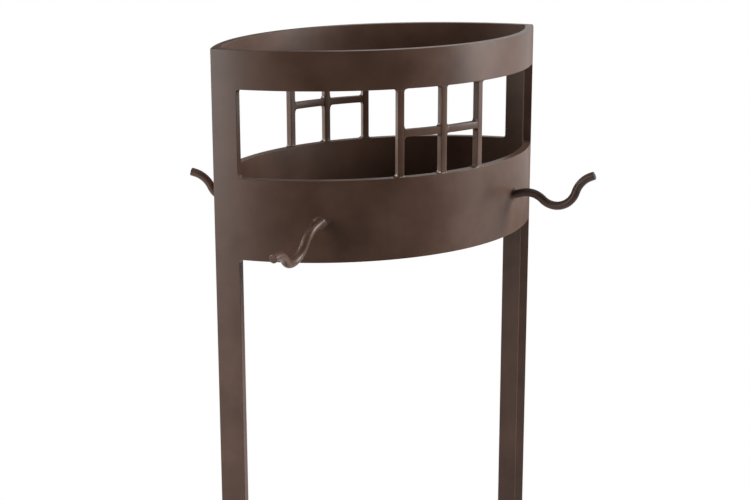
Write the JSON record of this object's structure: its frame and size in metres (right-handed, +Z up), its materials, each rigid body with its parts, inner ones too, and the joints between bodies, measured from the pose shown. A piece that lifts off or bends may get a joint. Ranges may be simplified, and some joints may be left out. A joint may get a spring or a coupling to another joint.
{
  "type": "fire pit with grate",
  "caption": "Tall fire basket of bent steel bands on strip legs, pointed oval in plan, with barred windows, outside tool hooks, and a lift-out grate and ash pan.",
  "frame": {"origin": "on the floor, in the middle of the pointed oval", "axes": "+X from the left corner to the right corner, +Y from the front with its open window on the left towards the back, +Z up"},
  "size_m": [0.3577, 0.2801, 0.76],
  "materials": {
    "bronze_coat": "satin dark bronze powder coat on steel plate and rod",
    "grate_steel": "blackened steel rod, dull, grey with ash on top",
    "ash_pan_steel": "blackened sheet steel, dull"
  },
  "bodies": {
    "stand": {"base_band_back": "bronze_coat", "base_band_front": "bronze_coat", "fire_band_back": "bronze_coat", "fire_band_front": "bronze_coat", "foot_back_left": "bronze_coat", "foot_back_right": "bronze_coat", "foot_front_left": "bronze_coat", "foot_front_right": "bronze_coat", "hook_back_left": "bronze_coat", "hook_back_right": "bronze_coat", "hook_front_left": "bronze_coat", "hook_front_right": "bronze_coat", "leg_back_left": "bronze_coat", "leg_back_right": "bronze_coat", "leg_front_left": "bronze_coat", "leg_front_right": "bronze_coat", "pan_lug_back_left": "bronze_coat", "pan_lug_back_middle": "bronze_coat", "pan_lug_back_right": "bronze_coat", "pan_lug_front_left": "bronze_coat", "pan_lug_front_middle": "bronze_coat", "pan_lug_front_right": "bronze_coat", "shelf": "bronze_coat", "top_band_back": "bronze_coat", "top_band_front": "bronze_coat", "window_bar_back_first": "bronze_coat", "window_bar_back_last": "bronze_coat", "window_bar_back_middle": "bronze_coat", "window_bar_front_first": "bronze_coat", "window_bar_front_last": "bronze_coat", "window_bar_front_middle": "bronze_coat", "window_rail_back_left": "bronze_coat", "window_rail_back_right": "bronze_coat", "window_rail_front_left": "bronze_coat", "window_rail_front_right": "bronze_coat"},
    "pan": {"ash_pan": "ash_pan_steel", "pan_grip_left": "ash_pan_steel", "pan_grip_right": "ash_pan_steel"},
    "grate": {"grate_bar_left_1": "grate_steel", "grate_bar_left_2": "grate_steel", "grate_bar_left_3": "grate_steel", "grate_bar_left_4": "grate_steel", "grate_bar_left_5": "grate_steel", "grate_bar_left_6": "grate_steel", "grate_bar_middle": "grate_steel", "grate_bar_right_1": "grate_steel", "grate_bar_right_2": "grate_steel", "grate_bar_right_3": "grate_steel", "grate_bar_right_4": "grate_steel", "grate_bar_right_5": "grate_steel", "grate_bar_right_6": "grate_steel", "grate_loop_left": "grate_steel", "grate_loop_right": "grate_steel", "grate_ring_back": "grate_steel", "grate_ring_front": "grate_steel"}
  },
  "joints": [
    {"name": "pan_lift", "type": "slide", "parent": "stand", "child": "pan", "axis": [0, 0, 1], "range_m": [0, 0.22]},
    {"name": "grate_lift", "type": "slide", "parent": "pan", "child": "grate", "axis": [0, 0, 1], "range_m": [0, 0.22]}
  ]
}
